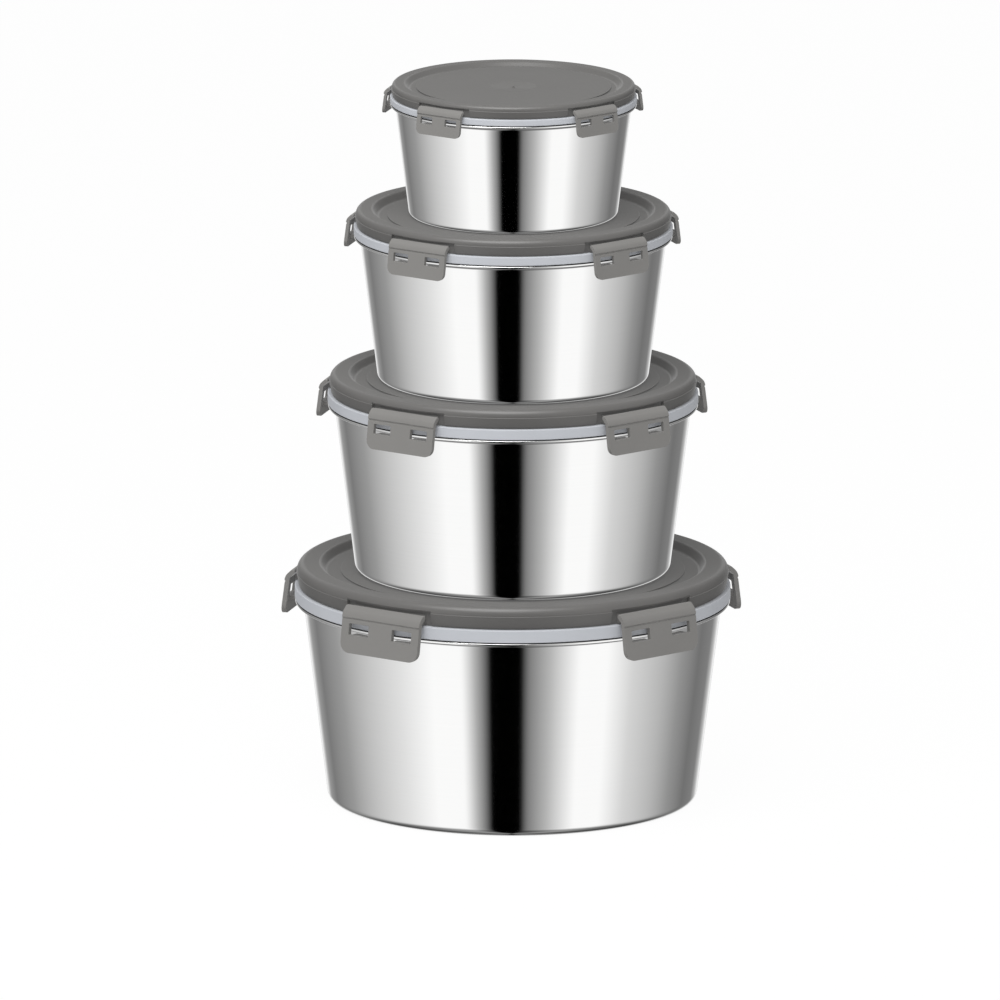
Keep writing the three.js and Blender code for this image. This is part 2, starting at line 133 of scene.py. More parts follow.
def round_corner(bm: BMesh, vert: bmesh.types.BMVert, fillet: float) -> None:
    """Rounds a corner of a wire with an arc that runs into both of its edges.

    Args:
        bm: The mesh that holds the wire.
        vert: The corner, which has two edges.
        fillet: The radius of the arc.
    """
    first, second = (edge.other_vert(vert).co - vert.co for edge in vert.link_edges)
    turn = math.pi - first.angle(second)
    bmesh.ops.bevel(
        bm,
        geom=[vert],
        offset=fillet * math.tan(turn / 2),
        offset_type="OFFSET",
        segments=max(FILLET_LEAST, round(turn / FILLET_STEP)),
        profile=0.5,
        affect="VERTICES",
        material=-1,
    )


def support_edges(bm: BMesh) -> None:
    """Adds a point near both ends of each long edge, so that the face between shades flat.

    Args:
        bm: The mesh that holds a wire.
    """
    for edge in list(bm.edges):
        length = edge.calc_length()
        if length < 4 * SUPPORT:
            continue
        start, end = edge.verts
        bmesh.utils.edge_split(edge, start, SUPPORT / length)
        bmesh.utils.edge_split(edge, end, SUPPORT / (length - SUPPORT))


def section(corners: Sequence[Corner], closed: bool) -> BMesh:
    """Draws a section in the XZ plane as a wire with rounded corners.

    Args:
        corners: The corners in order.
        closed: Whether the last corner joins the first.

    Returns:
        A new mesh with the wire alone.
    """
    bm = bmesh.new()
    verts = [bm.verts.new((corner.across, 0.0, corner.up)) for corner in corners]
    for start, end in zip(verts, verts[1:]):
        bm.edges.new((start, end))
    if closed:
        bm.edges.new((verts[-1], verts[0]))
    for corner, vert in zip(corners, verts):
        if corner.fillet:
            round_corner(bm, vert, corner.fillet)
    return bm


def tidy(bm: BMesh) -> BMesh:
    """Merges doubled points and turns every face outwards.

    Args:
        bm: A closed shape.

    Returns:
        The same mesh.
    """
    bmesh.ops.remove_doubles(bm, verts=bm.verts, dist=MERGE)
    bmesh.ops.dissolve_degenerate(bm, edges=bm.edges, dist=MERGE / 10)
    bmesh.ops.recalc_face_normals(bm, faces=bm.faces)
    return bm


def turned(corners: Sequence[Corner], closed: bool) -> BMesh:
    """Turns a section about the Z axis.

    Args:
        corners: The corners of the section.
        closed: Whether the section is a ring's, which doesn't reach the axis.

    Returns:
        A new closed mesh.
    """
    bm = section(corners, closed)
    support_edges(bm)
    bmesh.ops.spin(
        bm,
        geom=bm.verts[:] + bm.edges[:],
        cent=(0, 0, 0),
        axis=(0, 0, 1),
        dvec=(0, 0, 0),
        angle=2 * math.pi,
        steps=TURN_STEPS,
        use_merge=True,
        use_normal_flip=False,
        use_duplicate=False,
    )
    return tidy(bm)


def drawn_out(corners: Sequence[Corner], depth: float) -> BMesh:
    """Draws a closed section out along Y, to both sides of the XZ plane.

    Args:
        corners: The corners of the section.
        depth: The whole depth along Y.

    Returns:
        A new closed mesh.
    """
    bm = section(corners, closed=True)
    made = bmesh.ops.contextual_create(bm, geom=bm.edges[:])
    bmesh.ops.translate(bm, verts=bm.verts, vec=(0, -depth / 2, 0))
    pulled = bmesh.ops.extrude_face_region(bm, geom=made["faces"])
    ends = [item for item in pulled["geom"] if isinstance(item, bmesh.types.BMVert)]
    bmesh.ops.translate(bm, verts=ends, vec=(0, depth, 0))
    bmesh.ops.holes_fill(bm, edges=bm.edges)
    return tidy(bm)


def bar(radius: float, length: float) -> BMesh:
    """Makes a round bar along X, centred on the origin.

    Args:
        radius: The bar's radius.
        length: Its length.

    Returns:
        A new closed mesh.
    """
    bm = bmesh.new()
    bmesh.ops.create_cone(
        bm,
        cap_ends=True,
        segments=BARREL_STEPS,
        radius1=radius,
        radius2=radius,
        depth=length,
        matrix=Matrix.Rotation(math.pi / 2, 4, "Y"),
    )
    return tidy(bm)


def block(span: Sequence[float], depth: Sequence[float], height: Sequence[float]) -> BMesh:
    """Makes a block in front of the axis.

    Args:
        span: Its left and right ends along X.
        depth: Its near and far distance from the axis, towards the front.
        height: Its bottom and top.

    Returns:
        A new closed mesh.
    """
    bm = bmesh.new()
    size = (span[1] - span[0], depth[1] - depth[0], height[1] - height[0])
    middle = (sum(span) / 2, -sum(depth) / 2, sum(height) / 2)
    place = Matrix.Translation(middle) @ Matrix.Diagonal((*size, 1.0))
    bmesh.ops.create_cube(bm, size=1.0, matrix=place)
    return tidy(bm)


def moved(bm: BMesh, place: Matrix) -> BMesh:
    """Moves a whole mesh and returns it."""
    bmesh.ops.transform(bm, matrix=place, verts=bm.verts)
    return bm


def repeated(bm: BMesh, turns: Iterable[float]) -> BMesh:
    """Sets one copy of a shape at each turn about the Z axis.

    Args:
        bm: The shape in front of the axis, which is used up.
        turns: The angles of the copies.

    Returns:
        A new mesh with all the copies.
    """
    whole = bmesh.new()
    scratch = bpy.data.meshes.new("copy")
    bm.to_mesh(scratch)
    bm.free()
    for turn in turns:
        known = set(whole.verts)
        whole.from_mesh(scratch)
        fresh = [vert for vert in whole.verts if vert not in known]
        bmesh.ops.rotate(whole, verts=fresh, cent=(0, 0, 0), matrix=Matrix.Rotation(turn, 3, "Z"))
    bpy.data.meshes.remove(scratch)
    return whole


def scratch_object(bm: BMesh) -> bpy.types.Object:
    """Puts a mesh into an object of its own for a while.

    Args:
        bm: The mesh, which is used up.

    Returns:
        The object, in the scene.
    """
    mesh = bpy.data.meshes.new("scratch")
    bm.to_mesh(mesh)
    bm.free()
    held = bpy.data.objects.new("scratch", mesh)
    bpy.context.scene.collection.objects.link(held)
    return held


def joined(base: BMesh, tool: BMesh, way: Join) -> BMesh:
    """Joins two closed shapes into one.

    Args:
        base: The shape that is worked on, which is used up.
        tool: The shape that is added, cut away or crossed with it, which is used up.
        way: What is done.

    Returns:
        A new closed mesh.
    """
    held, other = scratch_object(base), scratch_object(tool)
    modifier = held.modifiers.new("join", "BOOLEAN")
    modifier.operation = way.value
    modifier.solver = "MANIFOLD"
    modifier.object = other
    bpy.context.view_layer.update()
    result = held.evaluated_get(bpy.context.evaluated_depsgraph_get())
    bm = bmesh.new()
    bm.from_mesh(result.to_mesh())
    result.to_mesh_clear()
    for spent in (held, other):
        mesh = spent.data
        bpy.data.objects.remove(spent)
        bpy.data.meshes.remove(mesh)
    return bm


def soften(bm: BMesh, width: float) -> BMesh:
    """Rounds the hard edges of a shape a little.

    Args:
        bm: A closed shape.
        width: How far the rounding reaches from an edge.

    Returns:
        The same mesh.
    """
    bmesh.ops.dissolve_limit(bm, angle_limit=FLAT_ANGLE, verts=bm.verts, edges=bm.edges)
    hard = [e for e in bm.edges if e.is_manifold and e.calc_face_angle() > SHARP_ANGLE]
    bmesh.ops.bevel(
        bm,
        geom=hard,
        offset=width,
        offset_type="OFFSET",
        segments=FILLET_LEAST,
        profile=0.5,
        affect="EDGES",
        clamp_overlap=True,
        loop_slide=True,
        material=-1,
    )
    return tidy(bm)


def finished(bm: BMesh, name: str) -> bpy.types.Object:
    """Makes the final object of a shape, in metres, with its place in its mesh.

    Args:
        bm: The shape in millimetres, which is used up.
        name: The name of the piece.

    Returns:
        The object, smooth but for its hard edges.
    """
    bmesh.ops.scale(bm, vec=(MM, MM, MM), verts=bm.verts)
    mesh = bpy.data.meshes.new(name)
    bm.to_mesh(mesh)
    bm.free()
    mesh.shade_smooth()
    mesh.set_sharp_from_angle(angle=SHARP_ANGLE)
    piece = bpy.data.objects.new(name, mesh)
    bpy.context.scene.collection.objects.link(piece)
    return piece


@dataclass(frozen=True)
class Pattern:
    """A noise pattern: how fine it is, and how many finer layers it has."""

    scale: float
    detail: float


@dataclass(frozen=True)
class Relief:
    """A bump: how strongly it shows, and how deep it is in metres."""

    strength: float
    depth: float


class Graph:
    """A material's or world's node tree, with short calls for adding nodes."""

    def __init__(self, owner: bpy.types.Material | bpy.types.World) -> None:
        """Starts with an empty tree.

        Args:
            owner: The material or world that the tree belongs to.
        """
        owner.use_nodes = True
        self.tree = owner.node_tree
        self.tree.nodes.clear()

    def add(self, kind: str, **settings: object) -> bpy.types.Node:
        """Adds a node.

        Args:
            kind: The node's type, without the ShaderNode that it starts with.
            settings: The node's own properties.

        Returns:
            The node.
        """
        node = self.tree.nodes.new(f"ShaderNode{kind}")
        for key, value in settings.items():
            setattr(node, key, value)
        return node

    def link(self, source: bpy.types.NodeSocket, target: bpy.types.NodeSocket) -> None:
        """Joins an output to an input."""
        self.tree.links.new(source, target)

    def math(self, operation: str, *values: object) -> bpy.types.NodeSocket:
        """Adds a Math node.

        Args:
            operation: What it works out.
            values: Numbers, or sockets that feed it.

        Returns:
            The result's socket.
        """
        node = self.add("Math", operation=operation)
        for socket, value in zip(node.inputs, values):
            if isinstance(value, bpy.types.NodeSocket):
                self.link(value, socket)
            else:
                socket.default_value = value
        return node.outputs[0]

    def spread(self, value: bpy.types.NodeSocket, low: float, high: float) -> bpy.types.NodeSocket:
        """Spreads a value from 0 to 1 over a range.

        Args:
            value: The socket of the value.
            low: What 0 becomes.
            high: What 1 becomes.

        Returns:
            The result's socket.
        """
        node = self.add("MapRange")
        self.link(value, node.inputs["Value"])
        node.inputs["To Min"].default_value = low
        node.inputs["To Max"].default_value = high
        return node.outputs["Result"]

    def noise(self, vector: bpy.types.NodeSocket, pattern: Pattern) -> bpy.types.NodeSocket:
        """Adds a noise pattern.

        Args:
            vector: The socket of the place that the pattern is read at.
            pattern: How fine it is.

        Returns:
            The value's socket.
        """
        node = self.add("TexNoise")
        self.link(vector, node.inputs["Vector"])
        node.inputs["Scale"].default_value = pattern.scale
        node.inputs["Detail"].default_value = pattern.detail
        return node.outputs["Fac"]

    def shades(
        self, factor: bpy.types.NodeSocket, colour: Sequence[float], shares: Sequence[float]
    ) -> bpy.types.NodeSocket:
        """Runs between two shades of a colour.

        Args:
            factor: The value that picks the shade, from 0 to 1.
            colour: The colour itself.
            shares: How light the first and the last shade are, as shares of the colour.

        Returns:
            The result's socket.
        """
        node = self.add("ValToRGB")
        self.link(factor, node.inputs["Fac"])
        for stop, share in zip(node.color_ramp.elements, shares):
            stop.color = (*(channel * share for channel in colour), 1.0)
        return node.outputs["Color"]

    def fade(
        self,
        value: bpy.types.NodeSocket,
        limits: Sequence[float],
        colour: bpy.types.NodeSocket,
        level: float,
        most: float = 1.0,
    ) -> bpy.types.NodeSocket:
        """Fades a colour into a plain grey while a value runs between two limits.

        Args:
            value: The value that is watched.
            limits: Where the fading starts and where it ends.
            colour: The colour that is left behind.
            level: How light the grey is.
            most: The share of the grey at the end.

        Returns:
            The result's socket.
        """
        share = self.add("MapRange")
        self.link(value, share.inputs["Value"])
        share.inputs["From Min"].default_value, share.inputs["From Max"].default_value = limits
        share.inputs["To Max"].default_value = most
        node = self.add("Mix", data_type="RGBA")
        self.link(share.outputs["Result"], node.inputs["Factor"])
        self.link(colour, node.inputs["A"])
        node.inputs["B"].default_value = (level, level, level, 1.0)
        return node.outputs["Result"]

    def choose(
        self, share: bpy.types.NodeSocket, first: bpy.types.Node, second: bpy.types.Node
    ) -> bpy.types.Node:
        """Mixes two shaders.

        Args:
            share: The socket of the share that the second one has.
            first: One shader.
            second: The other.

        Returns:
            The node that mixes them.
        """
        node = self.add("MixShader")
        self.link(share, node.inputs["Fac"])
        self.link(first.outputs[0], node.inputs[1])
        self.link(second.outputs[0], node.inputs[2])
        return node

    def bump(self, height: bpy.types.NodeSocket, relief: Relief) -> bpy.types.NodeSocket:
        """Adds a bump from a height.

        Args:
            height: The socket of the height.
            relief: How strong and deep the bump is.

        Returns:
            The normal's socket.
        """
        node = self.add("Bump")
        node.inputs["Strength"].default_value = relief.strength
        node.inputs["Distance"].default_value = relief.depth
        self.link(height, node.inputs["Height"])
        return node.outputs["Normal"]

    def surface(self) -> bpy.types.Node:
        """Adds a shader that is joined to the material's output.

        Returns:
            The shader.
        """
        shader = self.add("BsdfPrincipled")
        self.link(shader.outputs["BSDF"], self.add("OutputMaterial").inputs["Surface"])
        return shader


@dataclass(frozen=True)
class PolishedSteel:
    """Pressed steel, polished round the axis, with fine lines left by the wheel."""

    name: str = "polished_steel"
    colour: tuple[float, float, float] = (0.955, 0.955, 0.95)
    shares: tuple[float, float] = (0.985, 1.015)
    roughness: tuple[float, float] = (0.05, 0.085)
    lines: Pattern = Pattern(1600.0, 4.0)
    drift: float = 0.6
    relief: Relief = Relief(0.15, 0.0000004)

    def material(self) -> bpy.types.Material:
        """Builds the material.

        Returns:
            The material.
        """
        steel = bpy.data.materials.new(self.name)
        graph = Graph(steel)
        shader = graph.surface()
        place = graph.add("SeparateXYZ")
        graph.link(graph.add("TexCoord").outputs["Object"], place.inputs[0])
        across = graph.math("POWER", place.outputs["X"], 2.0)
        along = graph.math("POWER", place.outputs["Y"], 2.0)
        radius = graph.math("SQRT", graph.math("ADD", across, along))
        turn = graph.math("ARCTAN2", place.outputs["Y"], place.outputs["X"])
        wheel = graph.add("CombineXYZ")
        graph.link(radius, wheel.inputs["X"])
        graph.link(graph.math("MULTIPLY", turn, self.drift * MM), wheel.inputs["Y"])
        graph.link(place.outputs["Z"], wheel.inputs["Z"])
        fine = graph.noise(wheel.outputs[0], self.lines)
        graph.link(graph.spread(fine, *self.roughness), shader.inputs["Roughness"])
        tint = graph.shades(fine, self.colour, self.shares)
        graph.link(tint, shader.inputs["Base Color"])
        shader.inputs["Metallic"].default_value = 1.0
        graph.link(graph.bump(fine, self.relief), shader.inputs["Normal"])
        return steel


@dataclass(frozen=True)
class PaintedShadeSteel:
    """Steel painted dark and matt as shade: a painted shadow for the gap where the seal band sits
    over the rim.
    """

    name: str = "painted_shade_steel"
    colour: tuple[float, float, float] = (0.06, 0.06, 0.06)
    shares: tuple[float, float] = (0.9, 1.1)
    roughness: tuple[float, float] = (0.5, 0.65)
    grain: Pattern = Pattern(900.0, 3.0)

    def material(self) -> bpy.types.Material:
        """Builds the material.

        Returns:
            The material.
        """
        steel = bpy.data.materials.new(self.name)
        graph = Graph(steel)
        shader = graph.surface()
        shader.inputs["Specular IOR Level"].default_value = 0.0
        grain = graph.noise(graph.add("TexCoord").outputs["Object"], self.grain)
        tint = graph.shades(grain, self.colour, self.shares)
        graph.link(tint, shader.inputs["Base Color"])
        graph.link(graph.spread(grain, *self.roughness), shader.inputs["Roughness"])
        return steel


@dataclass(frozen=True)
class MouldedPlastic:
    """Opaque moulded plastic with a satin skin, fine tool texture and faint flow marks."""

    name: str
    colour: tuple[float, float, float]
    roughness: tuple[float, float]
    shares: tuple[float, float] = (0.94, 1.06)
    flow: Pattern = Pattern(38.0, 3.0)
    skin: Pattern = Pattern(2600.0, 2.0)
    relief: Relief = Relief(0.25, 0.00002)

    def material(self) -> bpy.types.Material:
        """Builds the material.

        Returns:
            The material.
        """
        plastic = bpy.data.materials.new(self.name)
        graph = Graph(plastic)
        shader = graph.surface()
        place = graph.add("TexCoord").outputs["Object"]
        tint = graph.shades(graph.noise(place, self.flow), self.colour, self.shares)
        graph.link(tint, shader.inputs["Base Color"])
        skin = graph.noise(place, self.skin)
        graph.link(graph.spread(skin, *self.roughness), shader.inputs["Roughness"])
        graph.link(graph.bump(skin, self.relief), shader.inputs["Normal"])
        return plastic


@dataclass(frozen=True)
class SealSilicone(MouldedPlastic):
    """Soft white silicone, a little cloudy and matt, coloured partly with painted shade: the white is
    darkened to the tone the band shows in the lid's shade, over its own faint lavender tint.
    """

    name: str = "seal_silicone"
    # Partly painted shade: white silicone darkened to its tone in the lid's shade, with its own faint
    # lavender tint.
    colour: tuple[float, float, float] = (0.485, 0.503, 0.537)
    roughness: tuple[float, float] = (0.42, 0.55)
    shares: tuple[float, float] = (0.94, 1.05)
    flow: Pattern = Pattern(60.0, 3.0)
    skin: Pattern = Pattern(1500.0, 2.0)
    relief: Relief = Relief(0.15, 0.00002)


@dataclass(frozen=True)
class PaleFloor:
    """A pale studio floor that nearly vanishes into the backdrop but keeps a shadow."""

    name: str = "pale_floor"
    colour: tuple[float, float, float] = (0.95, 0.95, 0.95)
    shares: tuple[float, float] = (0.99, 1.01)
    cloud: Pattern = Pattern(3.0, 2.0)
    glow: float = 0.97

    def material(self) -> bpy.types.Material:
        """Builds the material.

        Returns:
            The material.
        """
        floor = bpy.data.materials.new(self.name)
        graph = Graph(floor)
        matt = graph.add("BsdfDiffuse")
        cloud = graph.noise(graph.add("TexCoord").outputs["Object"], self.cloud)
        graph.link(graph.shades(cloud, self.colour, self.shares), matt.inputs["Color"])
        light = graph.add("Emission")
        light.inputs["Color"].default_value = WHITE
        seen = graph.math("MULTIPLY", graph.add("LightPath").outputs["Is Camera Ray"], self.glow)
        mix = graph.choose(seen, matt, light)
        graph.link(mix.outputs[0], graph.add("OutputMaterial").inputs["Surface"])
        return floor


@dataclass(frozen=True)
class Finishes:
    """The finished materials of the set."""

    steel: bpy.types.Material
    # Painted shade: dark matt steel that stands in for the shadow under the seal band.
    rim_painted_shade: bpy.types.Material
    lid: bpy.types.Material
    latch: bpy.types.Material
    seal: bpy.types.Material


@dataclass(frozen=True)
class ContainerSizes:
    """The sizes of one container, and the heights and radii that follow from them.

    Heights count from the middle of the container's base, and a rise from the lower edge of the
    lid's skirt.
    """

    name: str
    mouth_radius: float
    height: float
    foot_fillet: float
    rim_overhang: float
    rim_thickness: float
    band_height: float
    skirt_inset: float
    shoulder_rise: float
    shoulder_fillet: float
    shoulder_width: float
    gutter_width: float
    panel_rise: float
    hinge_rise: float
    hinge_reach: float
    latch_width: float
    flap_thickness: float
    knee_reach: float
    flap_corner: float
    tab_drop: float
    window_width: float
    window_height: float
    window_margin: float

    @property
    def rim_under(self) -> float:
        """The height of the rim's underside."""
        return self.height - self.rim_thickness

    @property
    def rim_radius(self) -> float:
        """The rim's outer radius."""
        return self.mouth_radius + self.rim_overhang

    def wall_radius(self, height: float) -> float:
        """The wall's outer radius at a height."""
        return self.mouth_radius - (self.rim_under - height) * math.tan(WALL_TAPER)

    def inner_radius(self, height: float) -> float:
        """The wall's inner radius at a height."""
        return self.wall_radius(height) - STEEL / math.cos(WALL_TAPER)

    @property
    def lip_bottom(self) -> float:
        """The height of the seal lip's lower edge."""
        return self.height - LIP_DEPTH

    @property
    def lip_radius(self) -> float:
        """The seal lip's outer radius."""
        return self.inner_radius(self.lip_bottom) - SEAT_GAP

    @property
    def plug_radius(self) -> float:
        """The outer radius of the lid's plug wall."""
        return self.lip_radius - LIP_THICKNESS - SEAT_GAP

    @property
    def plug_bottom(self) -> float:
        """The height of the plug wall's lower edge."""
        return self.height - PLUG_DEPTH

    @property
    def band_bottom(self) -> float:
        """The height of the seal band's lower edge."""
        return self.height + SEAT_GAP

    @property
    def band_top(self) -> float:
        """The height of the seal band's upper edge."""
        return self.band_bottom + self.band_height

    @property
    def skirt_edge(self) -> float:
        """The height of the skirt's lower edge."""
        return self.band_top + SEAT_GAP

    @property
    def skirt_radius(self) -> float:
        """The skirt's outer radius."""
        return self.rim_radius - self.skirt_inset

    @property
    def skirt_inside(self) -> float:
        """The skirt's inner radius."""
        return self.skirt_radius - LID_WALL

    @property
    def shoulder_top(self) -> float:
        """The height of the lid's shoulder."""
        return self.skirt_edge + self.shoulder_rise

    @property
    def panel_top(self) -> float:
        """The height of the lid's panel."""
        return self.skirt_edge + self.panel_rise

    @property
    def hinge_radius(self) -> float:
        """The distance from the container's axis to a hinge."""
        return self.skirt_radius + self.hinge_reach

    @property
    def hinge_height(self) -> float:
        """The height of the hinges."""
        return self.skirt_edge + self.hinge_rise

    @property
    def hook_top(self) -> float:
        """The height of the top of the latches' hooks."""
        return self.rim_under - SEAT_GAP

    @property
    def barrel_radius(self) -> float:
        """The radius of a flap's round end, which turns on the hinge."""
        return self.flap_thickness / 2

    @property
    def knee_rise(self) -> float:
        """The height of a flap's knee above its hinge."""
        rise = self.barrel_radius / math.cos(KNUCKLE_SLOPE)
        return rise - self.knee_reach * math.tan(KNUCKLE_SLOPE)

    @property
    def flap_across(self) -> float:
        """The thickness of a hanging flap, measured level."""
        return self.flap_thickness / math.cos(FLAP_FLARE)

    @property
    def flap_bottom(self) -> float:
        """The height of a flap's lower edge above its hinge."""
        return self.hook_top - self.tab_drop - self.hinge_height

    def flap_reach(self, rise: float) -> float:
        """How far a flap's outer face lies outside its hinge, at a height above it."""
        return self.knee_reach + (self.knee_rise - rise) * math.tan(FLAP_FLARE)

    @property
    def window_middles(self) -> tuple[float, float]:
        """The middles of a flap's two windows along its width."""
        offset = self.latch_width / 2 - self.window_margin - self.window_width / 2
        return -offset, offset


@dataclass
class Bowl:
    """The pressed steel bowl: flat base, tapered wall and a rim rolled outwards."""

    sizes: ContainerSizes
    base: float
    painted_shade_width: float = 1.6
    painted_shade_tilt: float = 0.6

    def build(self) -> bpy.types.Object:
        """Turns the bowl's section, and marks the outer top of its rim, where the seal band sits over
        it, for painted shade.

        Returns:
            The bowl's object.
        """
        s = self.sizes
        roll = RIM_ROUNDING * s.rim_thickness
        bm = turned(
            [
                Corner(0, 0),
                Corner(s.wall_radius(0), 0, s.foot_fillet),
                Corner(s.mouth_radius, s.rim_under, NECK_FILLET),
                Corner(s.rim_radius, s.rim_under, roll),
                Corner(s.rim_radius, s.height, roll),
                Corner(s.inner_radius(s.height), s.height, MOUTH_FILLET),
                Corner(s.inner_radius(STEEL), STEEL, s.foot_fillet - STEEL),
                Corner(0, STEEL),
            ],
            closed=False,
        )
        seat = s.rim_radius - self.painted_shade_width
        # Upward faces on the rim's outer edge take the second slot, painted dark as the shadow under
        # the seal band.
        for face in bm.faces:
            outside = face.calc_center_median().xy.length > seat
            face.material_index = int(outside and face.normal.z > self.painted_shade_tilt)
        return finished(moved(bm, Matrix.Translation((0, 0, self.base))), f"{s.name}_bowl_steel")

    def dress(self, finishes: Finishes) -> bpy.types.Object:
        """Builds the bowl, gives it its finish and fastens it to its body.

        Args:
            finishes: The set's materials.

        Returns:
            The finished piece.
        """
        piece = self.build()
        piece.data.materials.append(finishes.steel)
        # The second slot holds the painted shadow for the gap under the seal band.
        piece.data.materials.append(finishes.rim_painted_shade)
        settle(piece, f"{self.sizes.name}_bowl", f"{self.sizes.name}_bowl")
        return piece


@dataclass
class Seal:
    """The silicone ring: a band on the rim, a tongue up in the lid and a lip in the bowl."""

    sizes: ContainerSizes
    base: float
    edge_round: float = 0.3

    def build(self) -> bpy.types.Object:
        """Turns the seal's section.

        Returns:
            The seal's object.
        """
        s = self.sizes
        inside = s.plug_radius + SEAT_GAP
        tongue_outside = s.skirt_inside - SEAT_GAP
        tongue_top = s.skirt_edge + TONGUE_HEIGHT
        band = s.rim_radius + BAND_PROUD
        bm = turned(
            [
                Corner(inside, s.lip_bottom, self.edge_round),
                Corner(s.lip_radius, s.lip_bottom, self.edge_round),
                Corner(s.lip_radius, s.band_bottom),
                Corner(band, s.band_bottom, BAND_ROUND),
                Corner(band, s.band_top, BAND_ROUND),
                Corner(tongue_outside, s.band_top),
                Corner(tongue_outside, tongue_top, self.edge_round),
                Corner(inside, tongue_top, self.edge_round),
            ],
            closed=True,
        )
        return finished(moved(bm, Matrix.Translation((0, 0, self.base))), f"{s.name}_seal_ring")

    def dress(self, finishes: Finishes) -> bpy.types.Object:
        """Builds the seal, gives it its finish and fastens it to the lid's body.

        Args:
            finishes: The set's materials.

        Returns:
            The finished piece.
        """
        piece = self.build()
        piece.data.materials.append(finishes.seal)
        settle(piece, f"{self.sizes.name}_lid", f"{self.sizes.name}_seal")
        return piece


@dataclass
class Lid:
    """The moulded lid: panel, gutter, shoulder, skirt and plug wall, with five hinge lugs."""

    sizes: ContainerSizes
    base: float
    edge_round: float = 0.35
    brim_share: float = 0.7
    crease: float = 0.35
    notch_slope: float = 1.8
    slot_depth: float = 1.4
    slot_height: float = 0.5
    gate_share: float = 0.19
    gate_depth: float = 0.9
    gate_dot: float = 0.6
    lug_round: float = 0.25

    @property
    def brim(self) -> float:
        """The radius of the foot of the shoulder, which overhangs the lower edge of the skirt."""
        return self.sizes.skirt_radius + self.brim_share * self.sizes.skirt_inset

    def shell(self) -> BMesh:
        """Turns the lid without its hinges.

        Returns:
            A new closed mesh.
        """
        s = self.sizes
        panel_under = s.panel_top - LID_WALL
        shoulder_under = s.shoulder_top - LID_WALL
        plug_inside = s.plug_radius - LID_WALL
        step = s.skirt_radius - s.shoulder_width
        panel = step - s.gutter_width
        gutter = s.panel_top - GUTTER_DEPTH
        brow = self.brim - self.crease
        crease = s.shoulder_top - s.shoulder_fillet - self.crease
        edge = self.edge_round
        return turned(
            [
                Corner(0, panel_under),
                Corner(plug_inside, panel_under, LID_WALL),
                Corner(plug_inside, s.plug_bottom, edge),
                Corner(s.plug_radius, s.plug_bottom, edge),
                Corner(s.plug_radius, shoulder_under, edge),
                Corner(s.skirt_inside, shoulder_under, s.shoulder_fillet - LID_WALL),
                Corner(s.skirt_inside, s.skirt_edge, edge),
                Corner(s.skirt_radius, s.skirt_edge, edge),
                Corner(self.brim, crease, edge / 2),
                Corner(brow, crease + self.crease / 2),
                Corner(brow, s.shoulder_top, s.shoulder_fillet - self.crease),
                Corner(step, s.shoulder_top, STEP_FILLET),
                Corner(step - STEP_RUN, gutter, STEP_FILLET),
                Corner(panel - self.slot_depth, gutter),
                Corner(panel - self.slot_depth, gutter + self.slot_height),
                Corner(panel, gutter + self.slot_height),
                Corner(panel, s.panel_top, edge / 2),
                Corner(self.gate_share * s.skirt_radius, s.panel_top, edge),
                Corner(2 * self.gate_dot, s.panel_top - self.gate_depth, edge / 2),
                Corner(self.gate_dot, s.panel_top - self.gate_depth),
                Corner(self.gate_dot / 2, s.panel_top),
                Corner(0, s.panel_top),
            ],
            closed=False,
        )

    def pockets(self) -> BMesh:
        """Makes the hollows in the skirt behind the latches.

        Returns:
            A new mesh with all five.
        """
        s = self.sizes
        floor = s.skirt_radius - POCKET_DEPTH
        top = s.shoulder_top - s.shoulder_fillet
        outside = self.brim + self.crease
        notch = s.hinge_radius - self.crease
        ring = turned(
            [
                Corner(floor, s.band_top),
                Corner(outside, s.band_top),
                Corner(outside, top + (outside - notch) * self.notch_slope),
                Corner(notch, top),
                Corner(floor, top),
            ],
            closed=True,
        )
        half = s.latch_width / 2 + POCKET_SIDE
        near = s.skirt_radius / 2
        gap = block((-half, half), (near, 2 * s.hinge_radius), (0, 2 * s.shoulder_top))
        return joined(ring, self.around(gap), Join.CROSS)

    def lugs(self) -> BMesh:
        """Makes the ledges that end in a hollow seat for a round end.

        Returns:
            A new mesh with all five.
        """
        s = self.sizes
        root = s.skirt_radius - (POCKET_DEPTH + LID_WALL) / 2
        reach = math.hypot(s.hinge_radius, s.latch_width / 2)
        lip_radius = s.hinge_radius - s.barrel_radius
        slope = math.tan(KNUCKLE_SLOPE)
        bottom = s.skirt_edge + self.edge_round
        top = s.hinge_height + s.barrel_radius / 2
        ring = turned(
            [
                Corner(root, bottom),
                Corner(reach, bottom),
                Corner(reach, top - (reach - s.skirt_radius) * slope),
                Corner(root, top + (s.skirt_radius - root) * slope),
            ],
            closed=True,
        )
        half = s.latch_width / 2 - LUG_INSET
        near = s.skirt_radius / 2
        ledge = block((-half, half), (near, lip_radius), (0, 2 * s.shoulder_top))
        seat = bar(s.barrel_radius + SEAT_GAP, s.latch_width)
        seat = moved(seat, Matrix.Translation((0, -s.hinge_radius, s.hinge_height)))
        whole = joined(ring, self.around(ledge), Join.CROSS)
        return soften(joined(whole, self.around(seat), Join.CUT), self.lug_round)

    @staticmethod
    def around(bm: BMesh) -> BMesh:
        """Sets a copy of a shape at each latch and returns the mesh."""
        return repeated(bm, LATCH_TURNS)

    def build(self) -> bpy.types.Object:
        """Joins the shell and its hinge lugs.

        Returns:
            The lid's object.
        """
        bm = joined(self.shell(), self.pockets(), Join.CUT)
        bm = tidy(joined(bm, self.lugs(), Join.ADD))
        name = f"{self.sizes.name}_lid_shell"
        return finished(moved(bm, Matrix.Translation((0, 0, self.base))), name)

